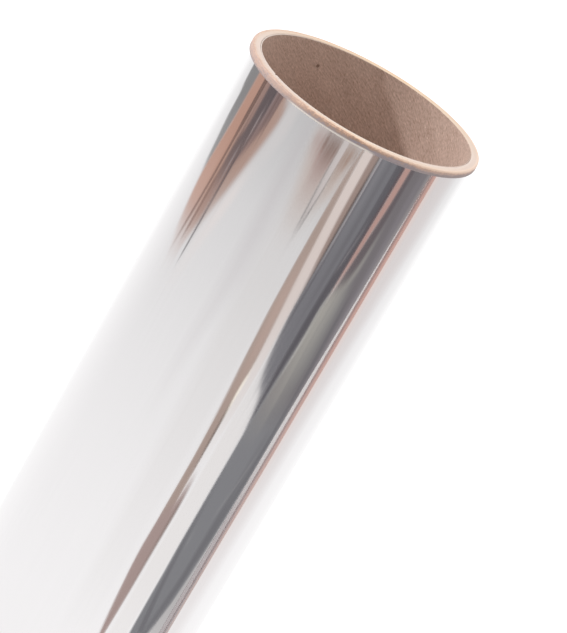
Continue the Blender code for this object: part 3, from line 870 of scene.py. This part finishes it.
from_face = nearness(tree, z, ROLL_TOP / 2, 1.0, ROLL_TOP / 2)
from_bore = arithmetic(tree, "SUBTRACT", from_axis, RING_BORE_RADIUS)
on_face = arithmetic(tree, "MULTIPLY", from_bore, FACE_SHARE / (RING_RADIUS - RING_BORE_RADIUS))
way = arithmetic(tree, "MULTIPLY_ADD", from_face, (1.0 - FACE_SHARE) / RING_THICKNESS, on_face)
speckle = arithmetic(tree, "SUBTRACT", arithmetic(tree, "ADD", round_marks.outputs["Fac"], grains), 1.0)
fading = arithmetic(tree, "MULTIPLY_ADD", way, SPECKLE_FALL, SPECKLE_RISE)
strength = arithmetic(tree, "MULTIPLY_ADD", way, fading, SPECKLE_LEAST)
to_right = arithmetic(tree, "DIVIDE", x, RING_RADIUS)
# Painted light and shade: the way along the section is shifted by how far the point lies to the right.
lean = arithmetic(tree, "SUBTRACT", ramp(tree, way, SIDE_SHADE_LEAN), 0.5)
shaded = arithmetic(tree, "MULTIPLY_ADD", way, arithmetic(tree, "MULTIPLY", to_right, lean), way)
worn_and_shaded = arithmetic(tree, "MULTIPLY_ADD", speckle, strength, shaded)
# The second ramp, with its painted highlight and painted shade, is mixed in near the middle of the front and
# in patches.
near_middle = nearness(tree, x, GRIME_AND_SHADE_MIDDLE, GRIME_AND_SHADE_FALL / RING_RADIUS, GRIME_AND_SHADE_MOST)
grime_and_shade = arithmetic(tree, "MULTIPLY_ADD", patches, PATCH_SHARE, near_middle, clamp=True)
tone = mixed(tree, grime_and_shade, ramp(tree, worn_and_shaded, CLEAN_TONES_AND_SHADE), ramp(tree, worn_and_shaded, GRIME_HIGHLIGHT_AND_SHADE_TONES))
# Painted highlight on the rounded edge, growing towards the right.
glow = arithmetic(tree, "MULTIPLY", ramp(tree, way, RIM_HIGHLIGHT_PLACE), to_right, clamp=True)
tone = mixed(tree, glow, tone, RIM_HIGHLIGHT)
# Painted highlight as a pale lip along the lower edge under the front.
near_lip = nearness(tree, x, LIP_MIDDLE, 1.0 / LIP_FADE, LIP_REACH / LIP_FADE, clamp=True)
lip_highlight = arithmetic(tree, "MULTIPLY", near_lip, ramp(tree, way, LIP_PLACE))
tone = mixed(tree, lip_highlight, tone, LIP_HIGHLIGHT)
far_side = arithmetic(tree, "MULTIPLY", y, 1.0 / RING_RADIUS, clamp=True)
tone = mixed(tree, far_side, tone, FAR_TINT, "MULTIPLY")
paint(tree, shader, tone, ramp(tree, worn_and_shaded, RING_ROUGHNESS))
bump(tree, speckle, RING_RELIEF, shader)
print("ring finish:", ring_finish.name)

# %% [markdown]
# ## Foil
# The foil is copper with a bright silver face. Very faint lines run across the web, up the roll, and break
# its reflections into fine streaks. The free end has a bare copper margin where the silver stops: its width
# is measured from the free edge on the sheet's own UV map, so it stays with the foil when the end is lifted.

# %% Foil finishes
SILVER = (0.975, 0.957, 0.965)
SILVER_DULL = (0.955, 0.937, 0.944)
COPPER_BRIGHT = (0.93, 0.635, 0.575)
COPPER_DULL = (0.77, 0.50, 0.44)
TARNISHED_BRIGHT = (0.74, 0.64, 0.62)
TARNISHED_DULL = (0.60, 0.51, 0.495)
TARNISH = [(0.36, 1.0), (0.58, 0.55), (0.80, 0.12), (1.0, 0.0)]
SILVER_ROUGHNESS = [(0.3, 0.085), (0.7, 0.045)]
COPPER_ROUGHNESS = [(0.3, 0.38), (0.7, 0.24)]
MARGIN_ROUGHNESS = (0.28, 0.28, 0.28)
LINE_DEPTH = 0.003 * MM
END_LENGTH = math.radians(TAIL_ARC + HINGE_LEAD) * FOIL_FACE_RADIUS
WRAP_LENGTH = math.radians(END_START) * FOIL_FACE_RADIUS
MARGIN = 2.2 * MM
MARGIN_FADE = 0.5 * MM
MARGIN_SHARE = [(0.40, 0.80), (0.52, 0.85), (0.62, 1.0)]
# Near the free edge the copper margin is darker and cooler.
DARK_EDGE_WIDTH = 0.9 * MM
DARK_EDGE_FADE = [(0.6, 1.0), (1.0, 0.0)]
DARK_EDGE_TINT = (0.76, 0.83, 0.89)


def foil_lines(tree, kind, scale):
    """Faint lines up the roll, as a mask."""
    return use_group(tree, marks_group, place_in_mm(tree, kind, scale), Along=0.8, Across=90.0, Detail=3.0)


def silver_finish(name, kind, scale):
    """The bright face, with faint lines in its tone, its polish and its height."""
    material, tree, shader = new_material(name, roughness=0.06, metallic=1.0)
    lines = foil_lines(tree, kind, scale)
    face = mixed(tree, lines, SILVER_DULL, SILVER)
    roughness = ramp(tree, lines, SILVER_ROUGHNESS)
    paint(tree, shader, face, roughness)
    bump(tree, lines, LINE_DEPTH, shader)
    return material, tree, shader, lines, face, roughness


def sheet_scale(length):
    """The Mapping scale that turns a foil sheet's UV map into millimetres."""
    return (length / MM, FOIL_WIDTH / MM, 1.0)


silver = silver_finish("silver_face", "UV", sheet_scale(WRAP_LENGTH))[0]
silver_inner = silver_finish("silver_inner_wraps", "Object", OBJECT_TO_MM)[0]

end_scale = sheet_scale(END_LENGTH)
silver_end, tree, shader, lines, face, roughness = silver_finish("silver_free_end", "UV", end_scale)
along, up, _ = split(tree, coordinates(tree, "UV"))
to_edge = arithmetic(tree, "MULTIPLY_ADD", along, -END_LENGTH, END_LENGTH)
margin = arithmetic(tree, "MULTIPLY", ramp(tree, up, MARGIN_SHARE), MARGIN)
beyond = arithmetic(tree, "SUBTRACT", margin, to_edge)
in_margin = arithmetic(tree, "MULTIPLY_ADD", beyond, 1.0 / MARGIN_FADE, 0.5, clamp=True)
clean_copper = mixed(tree, lines, COPPER_DULL, COPPER_BRIGHT)
tarnished_copper = mixed(tree, lines, TARNISHED_DULL, TARNISHED_BRIGHT)
margin_tone = mixed(tree, ramp(tree, up, TARNISH), clean_copper, tarnished_copper)
# The copper margin is darker and cooler near the free edge.
at_edge = ramp(tree, arithmetic(tree, "DIVIDE", to_edge, DARK_EDGE_WIDTH), DARK_EDGE_FADE)
margin_tone = mixed(tree, at_edge, margin_tone, mixed(tree, 1.0, margin_tone, DARK_EDGE_TINT, "MULTIPLY"))
face = mixed(tree, in_margin, face, margin_tone)
paint(tree, shader, face, mixed(tree, in_margin, roughness, MARGIN_ROUGHNESS))

copper, tree, shader = new_material("bare_copper", roughness=0.3, metallic=1.0)
lines = foil_lines(tree, "Object", OBJECT_TO_MM)
tone = mixed(tree, lines, COPPER_DULL, COPPER_BRIGHT)
paint(tree, shader, tone, ramp(tree, lines, COPPER_ROUGHNESS))
print("foil finishes:", silver.name, silver_end.name, silver_inner.name, copper.name)

# %% [markdown]
# ## Liner
# The release liner is smooth white paper with a faint pulp pattern. Lower down it is a little greyer, as
# painted shade. The starter tape on the core is of much the same paper.

# %% Liner finish
LINER_SHADE = (0.84, 0.793, 0.787)
LINER_WHITE = (0.875, 0.835, 0.83)
# Painted shade: the liner is greyer lower down.
LINER_LOW_SHADE = (0.58, 0.525, 0.53)
LOW_SHADE_PLACE = [(0.42, 1.0), (0.54, 0.9), (0.66, 0.1), (0.75, 0.0)]
PAPER_ROUGHNESS = [(0.3, 0.85), (0.7, 0.75)]
PAPER_GLOSS = 0.2


def liner_finish(name, kind, scale):
    material, tree, shader = new_material(name, roughness=0.8, metallic=0.0)
    shader.inputs["Specular IOR Level"].default_value = PAPER_GLOSS
    pulp = use_group(tree, marks_group, place_in_mm(tree, kind, scale), Along=6.0, Across=3.0, Detail=3.0)
    join(tree, ramp(tree, pulp, PAPER_ROUGHNESS), shader.inputs["Roughness"])
    return material, tree, shader, mixed(tree, pulp, LINER_SHADE, LINER_WHITE)


def liner_sheet_finish(name, length):
    """The liner's paper on a sheet of this length, white at the top and greyer lower down, as painted shade.
    """
    material, tree, shader, paper = liner_finish(name, "UV", sheet_scale(length))
    # Painted shade that greys the liner lower down.
    low_shade = ramp(tree, split(tree, coordinates(tree, "UV"))[1], LOW_SHADE_PLACE)
    paint(tree, shader, mixed(tree, low_shade, paper, LINER_LOW_SHADE))
    return material


liner_paper = liner_sheet_finish("liner_paper", WRAP_LENGTH)
liner_end_paper = liner_sheet_finish("liner_end_paper", END_LENGTH)
tape_paper, tree, shader, paper = liner_finish("starter_tape_paper", "Object", OBJECT_TO_MM)
paint(tree, shader, paper)
print("papers:", liner_paper.name, liner_end_paper.name, tape_paper.name)

# %% [markdown]
# ## Sheets that are wound
# Foil, liner and kraft strip are all flat goods, so each starts as a flat sheet, like the cards. Winding it
# is then one rule for every point: the distance along the sheet becomes an angle round the roll. The sheet's
# own UV map goes with it, so the marks in the finish follow the sheet.

# %% Helpers for sheets
SMOOTH_ANGLE = math.radians(35.0)


def wind(sheet, place_at):
    """Moves each point of a flat sheet to the place that the winding rule gives for its two shares."""
    for vertex in sheet.data.vertices:
        vertex.co = place_at(vertex.co.x + 0.5, vertex.co.y + 0.5)


def make_active(piece):
    bpy.ops.object.select_all(action="DESELECT")
    piece.select_set(True)
    bpy.context.view_layer.objects.active = piece


def turn_faces_out(piece):
    """Flips a sheet whose faces look towards the axis."""
    make_active(piece)
    bpy.ops.object.mode_set(mode="EDIT")
    bpy.ops.mesh.select_all(action="SELECT")
    bpy.ops.mesh.flip_normals()
    bpy.ops.object.mode_set(mode="OBJECT")


def thicken(piece, thickness, offset):
    """Gives a sheet its thickness. Its back and rim take the last of its materials."""
    make_active(piece)
    wall = piece.modifiers.new("thickness", "SOLIDIFY")
    wall.thickness = thickness
    wall.offset = offset
    wall.material_offset = wall.material_offset_rim = len(piece.data.materials) - 1
    bpy.ops.object.modifier_apply(modifier=wall.name)


def stand_for(piece, node):
    """Shades a finished piece smooth, and hides the node it stands for."""
    make_active(piece)
    bpy.ops.object.shade_smooth_by_angle(angle=SMOOTH_ANGLE)
    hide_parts(node)
    print(piece.name, len(piece.data.polygons), "faces")


# %% [markdown]
# ## Core
# The bore's wall is a kraft strip wound in a helix with its edges butted together, so a fine seam climbs
# round the inside. We wind a sloping strip, and cut its ends square with two bisect planes.

# %% Inner ply of the core
BUTT_GAP = 0.6 * MM
SEAM_TOP_ANGLE = 222.5
COLUMNS_PER_TURN = 120


def kraft_place(along, across):
    """A point of the kraft strip: it climbs one pitch for each turn, and its top edge passes the rim."""
    turn = STRIP_TURNS * 360.0 * (along - 1.0)
    climb = STRIP_PITCH * turn / 360.0
    height = ROLL_TOP + STRIP_PITCH + climb + (STRIP_PITCH - BUTT_GAP) * (across - 1.0)
    return polar(SEAM_TOP_ANGLE + turn, BORE_RADIUS, height)


core_ply = flat_sheet("kraft_bore", STRIP_TURNS * COLUMNS_PER_TURN, 24, kraft)
wind(core_ply, kraft_place)
make_active(core_ply)
bpy.ops.object.mode_set(mode="EDIT")
for cut_height, keep_below in ((ROLL_TOP - PLY_RECESS, True), (PLY_RECESS, False)):
    bpy.ops.mesh.select_all(action="SELECT")
    bpy.ops.mesh.bisect(
        plane_co=(0.0, 0.0, cut_height),
        plane_no=(0.0, 0.0, 1.0),
        clear_outer=keep_below,
        clear_inner=not keep_below,
    )
bpy.ops.object.mode_set(mode="OBJECT")
thicken(core_ply, PLY_THICKNESS, 1.0)
stand_for(core_ply, "core_inner_ply")
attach(core_ply, "roll")

# %% [markdown]
# ## Edge rings
# Each ring is turned from one section: a flange with rounded edges and a thin collar that goes in under the
# foil. The section starts as a plane, is cut where the collar leaves it, and the collar is extruded. A spin
# round the axis makes the ring.

# %% Edge rings
RING_ROUND = 0.6 * MM
RING_LOWER_ROUND = 0.35 * MM
RING_INNER_ROUND = 0.25 * MM
RING_STEPS = 240
RING_WOBBLE = 0.03 * MM
WOBBLES_PER_METRE = 90.0
TINY = 0.01 * MM


def select_points(piece, wanted):
    """Selects, in edit mode, the points whose place passes the test."""
    bpy.ops.object.mode_set(mode="OBJECT")
    for part in (*piece.data.polygons, *piece.data.edges):
        part.select = False
    for vertex in piece.data.vertices:
        vertex.select = wanted(vertex.co)
    bpy.ops.object.mode_set(mode="EDIT")
    bpy.ops.mesh.select_mode(type="VERT")


def ring_section(name, near, far, inward):
    """The section of a ring, in the XZ plane: the flange, with the collar extruded from it."""
    bpy.ops.object.select_all(action="DESELECT")
    bpy.ops.mesh.primitive_plane_add(size=1.0)
    ring = bpy.context.object
    ring.name = name
    for vertex in ring.data.vertices:
        radius = RING_RADIUS if vertex.co.x > 0.0 else RING_BORE_RADIUS
        vertex.co = (radius, 0.0, near if vertex.co.y > 0.0 else far)
    make_active(ring)
    bpy.ops.object.mode_set(mode="EDIT")
    for cut_radius in (COLLAR_INNER_RADIUS, COLLAR_OUTER_RADIUS):
        bpy.ops.mesh.select_all(action="SELECT")
        bpy.ops.mesh.bisect(plane_co=(cut_radius, 0.0, 0.0), plane_no=(1.0, 0.0, 0.0))
    collar = (COLLAR_INNER_RADIUS - TINY, COLLAR_OUTER_RADIUS + TINY)
    select_points(ring, lambda co: collar[0] < co.x < collar[1] and abs(co.z - far) < TINY)
    bpy.ops.mesh.extrude_region_move(TRANSFORM_OT_translate={"value": (0.0, 0.0, inward * COLLAR_LENGTH)})
    for radius, height, rounding, segments in (
        (RING_RADIUS, near, RING_ROUND, 6),
        (RING_RADIUS, far, RING_LOWER_ROUND, 4),
        (RING_BORE_RADIUS, near, RING_INNER_ROUND, 3),
    ):
        select_points(ring, lambda co: abs(co.x - radius) < TINY and abs(co.z - height) < TINY)
        bpy.ops.mesh.bevel(affect="VERTICES", offset=rounding, segments=segments)
    return ring


def make_edge_ring(name, node, face_height, inward):
    """A ring whose outer face is at this height. Inward is the way along Z to the middle of the roll."""
    ring = ring_section(name, face_height, face_height + inward * RING_THICKNESS, inward)
    bpy.ops.mesh.select_all(action="SELECT")
    bpy.ops.mesh.dissolve_faces()
    bpy.ops.mesh.select_all(action="SELECT")
    bpy.ops.mesh.delete(type="ONLY_FACE")
    bpy.ops.mesh.select_all(action="SELECT")
    bpy.ops.mesh.spin(steps=RING_STEPS, angle=math.tau, center=(0.0, 0.0, 0.0), axis=(0.0, 0.0, 1.0))
    bpy.ops.mesh.select_all(action="SELECT")
    bpy.ops.mesh.remove_doubles(threshold=0.1 * TINY)
    bpy.ops.mesh.normals_make_consistent(inside=False)
    bpy.ops.object.mode_set(mode="OBJECT")
    for vertex in ring.data.vertices:
        if vertex.co.xy.length > COLLAR_OUTER_RADIUS + TINY:
            swell = noise.noise(vertex.co * WOBBLES_PER_METRE) * RING_WOBBLE
            vertex.co.xy *= 1.0 - abs(swell) / RING_RADIUS
    ring.data.materials.append(ring_finish)
    stand_for(ring, node)
    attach(ring, "roll")


make_edge_ring("top_ring", "top_edge_ring", ROLL_TOP, -1.0)
make_edge_ring("bottom_ring", "bottom_edge_ring", 0.0, 1.0)

# %% [markdown]
# ## Winding rule of the foil
# The outer turn of foil climbs over its own start, and its last stretch is the free end, which settles down
# on the turn below. Thin foil is never quite round: long shallow ripples run up it, only about a hundredth of
# a millimetre high, and they make the reflections waver. They depend only on the place, so all layers share
# them and never cut through each other.

# %% Winding rule
RIPPLE_HEIGHT = 0.014 * MM
BROAD_RIPPLES = 4.0
BROAD_CLIMB = 5.0
NARROW_RIPPLES = 13.0
NARROW_CLIMB = 9.0
NARROW_START = 7.3
NARROW_SHARE = 0.15
END_DROP = 0.285 * MM
SETTLE_FROM = 332.0
SETTLE_TO = 362.0
EDGE_TRIM = 0.7
FOIL_END = OUTER_TURN_ARC - EDGE_TRIM


def ripple(angle, height):
    """Long shallow ripples that run up the foil, as a small change of radius."""
    round_roll = polar(angle, 1.0, 0.0)
    broad = noise.noise(round_roll * BROAD_RIPPLES + Vector((0.0, 0.0, height * BROAD_CLIMB)))
    climb = Vector((0.0, 0.0, NARROW_START + height * NARROW_CLIMB))
    narrow = noise.noise(round_roll * NARROW_RIPPLES + climb)
    return RIPPLE_HEIGHT * (broad + NARROW_SHARE * narrow)


def turn_place(turn, height, start_radius):
    """A point of the outer turn, this many degrees along it."""
    angle = TURN_START_ANGLE - turn
    settled = min(max((turn - SETTLE_FROM) / (SETTLE_TO - SETTLE_FROM), 0.0), 1.0)
    drop = END_DROP * settled * settled * (3.0 - 2.0 * settled)
    radius = start_radius + TURN_RISE * turn / 360.0 - drop + ripple(angle, height)
    return polar(angle, radius, height)


def web_place(first, last, start_radius):
    """The winding rule of a stretch of the outer turn, for wind()."""

    def place_at(along, across):
        turn = first + (last - first) * along
        return turn_place(turn, FOIL_BOTTOM + FOIL_WIDTH * across, start_radius)

    return place_at


def finish_sheet(sheet, node):
    """Turns a wound sheet's face outward, gives it its thickness and hides the node it stands for."""
    turn_faces_out(sheet)
    thicken(sheet, SHEET_THICKNESS, 0.0)
    stand_for(sheet, node)


print(f"free end settles by {END_DROP / MM:.2f} mm")

# %% [markdown]
# ## Foil and liner
# The outer turn of foil is silver on its face and copper on its back and edges. It stops a little before the
# hinge line of the free end.

# %% Outer turn of the foil
foil_wrap = flat_sheet("foil_wrap", 320, 100, silver, copper)
wind(foil_wrap, web_place(0.0, END_START, FOIL_START_RADIUS))
finish_sheet(foil_wrap, "foil_outer_turn")
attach(foil_wrap, "roll")

# %% [markdown]
# The free end is a sheet of its own, because it bends at its hinge line when it is lifted. Its first few
# degrees lie before the hinge line.

# %% Free end of the foil
HINGE_SPREAD = 0.8 * HINGE_LEAD


def bend_at_hinge(sheet, start_radius):
    """Works out the points on either side of a free end's hinge line, and bakes the sheet's placement into its
    mesh.
    """
    before = turn_place(HINGE_TURN - HINGE_SPREAD, ROLL_TOP / 2, start_radius)
    after = turn_place(HINGE_TURN + HINGE_SPREAD, ROLL_TOP / 2, start_radius)
    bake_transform(sheet)


foil_end = flat_sheet("foil_free_end", 80, 100, silver_end, copper)
wind(foil_end, web_place(END_START, FOIL_END, FOIL_START_RADIUS))
finish_sheet(foil_end, "foil_tail")
bend_at_hinge(foil_end, FOIL_START_RADIUS)

# %% [markdown]
# The liner lies under the foil in the same two stretches. At the top its free edge is hidden by the foil, and
# lower down it stands out further and further, as a white line.

# %% Liner under the foil
LINER_DEPTHS = [0.0, 14.0, 22.0, 40.0, 60.0, 85.0, 110.0, 140.0, 309.0]
LINER_PROUD = [-0.05, -0.05, 0.28, 0.58, 0.85, 1.42, 1.68, 1.78, 1.8]


def liner_end_place(along, across):
    """The liner's free end, cut a little askew by hand so that more of it shows lower down."""
    height = FOIL_BOTTOM + FOIL_WIDTH * across
    proud = float(np.interp((ROLL_TOP - height) / MM, LINER_DEPTHS, LINER_PROUD)) * MM
    last = FOIL_END + math.degrees(proud / FOIL_FACE_RADIUS)
    return turn_place(END_START + (last - END_START) * along, height, LINER_START_RADIUS)


liner_wrap = flat_sheet("liner_wrap", 200, 30, liner_paper)
wind(liner_wrap, web_place(0.0, END_START, LINER_START_RADIUS))
finish_sheet(liner_wrap, "liner_outer_turn")
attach(liner_wrap, "roll")
liner_end = flat_sheet("liner_free_end", 60, 100, liner_end_paper)
wind(liner_end, liner_end_place)
finish_sheet(liner_end, "liner_tail")
bend_at_hinge(liner_end, LINER_START_RADIUS)

# %% [markdown]
# ## Pieces that stay inside
# The middle and outer plies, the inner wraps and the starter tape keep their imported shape. They hardly show,
# but each gets the finish of its kind. The inner wraps are seen when the free end is lifted.

# %% Finishes of the inner pieces
INNER_FINISHES = {
    "core_middle_ply": kraft_board,
    "core_outer_ply": kraft_board,
    "foil_inner_wraps": silver_inner,
    "starter_tape": tape_paper,
}
for node_name, material in INNER_FINISHES.items():
    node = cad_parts[node_name]
    node.data.materials.clear()
    node.data.materials.append(material)
print("inner pieces dressed:", len(INNER_FINISHES))
